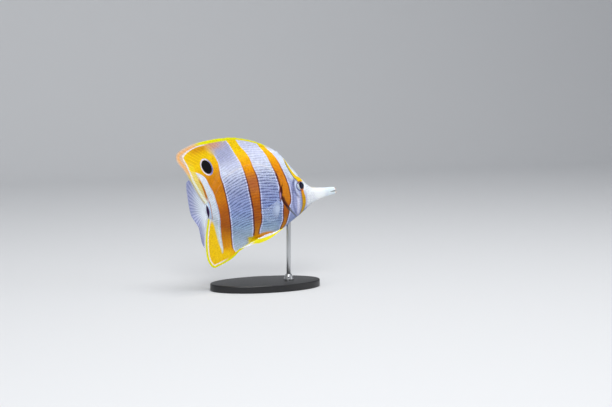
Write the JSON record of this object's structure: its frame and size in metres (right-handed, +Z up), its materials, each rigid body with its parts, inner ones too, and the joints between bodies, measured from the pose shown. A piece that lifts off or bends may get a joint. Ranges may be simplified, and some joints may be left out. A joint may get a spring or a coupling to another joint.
{
  "type": "copperband butterflyfish",
  "caption": "Life-size still model of a copperband butterflyfish swimming, on a flat base with one rod, for display on a shelf or table.",
  "frame": {"origin": "centre of the whole model's box at the level that the stand's base rests on", "axes": "+X towards the fish's snout, +Y to the fish's left, +Z up"},
  "size_m": [0.1651, 0.062, 0.148],
  "materials": {
    "scaled_skin": "cast resin painted as silvery white scales with copper-orange bands, satin",
    "yellow_fin": "thin cast resin painted yellow and orange, satin",
    "clear_fin": "thin milky clear resin with pale rays",
    "eye": "polished black pupil in a pale iris under a clear dome",
    "stand_black": "satin black paint",
    "stand_steel": "brushed steel"
  },
  "bodies": {
    "root": {"head": "scaled_skin", "snout": "scaled_skin", "upper_jaw": "scaled_skin", "lower_jaw": "scaled_skin", "gill_cover_right": "scaled_skin", "gill_cover_left": "scaled_skin", "torso": "scaled_skin", "tail_stalk": "scaled_skin", "dorsal_fin": "yellow_fin", "anal_fin": "yellow_fin", "pelvic_fin_right": "yellow_fin", "pelvic_fin_left": "yellow_fin", "tail_fin": "clear_fin", "pectoral_fin_right": "clear_fin", "pectoral_fin_left": "clear_fin", "eye_right": "eye", "eye_left": "eye", "stand_base": "stand_black", "stand_collar": "stand_steel", "stand_rod": "stand_steel"}
  },
  "joints": []
}
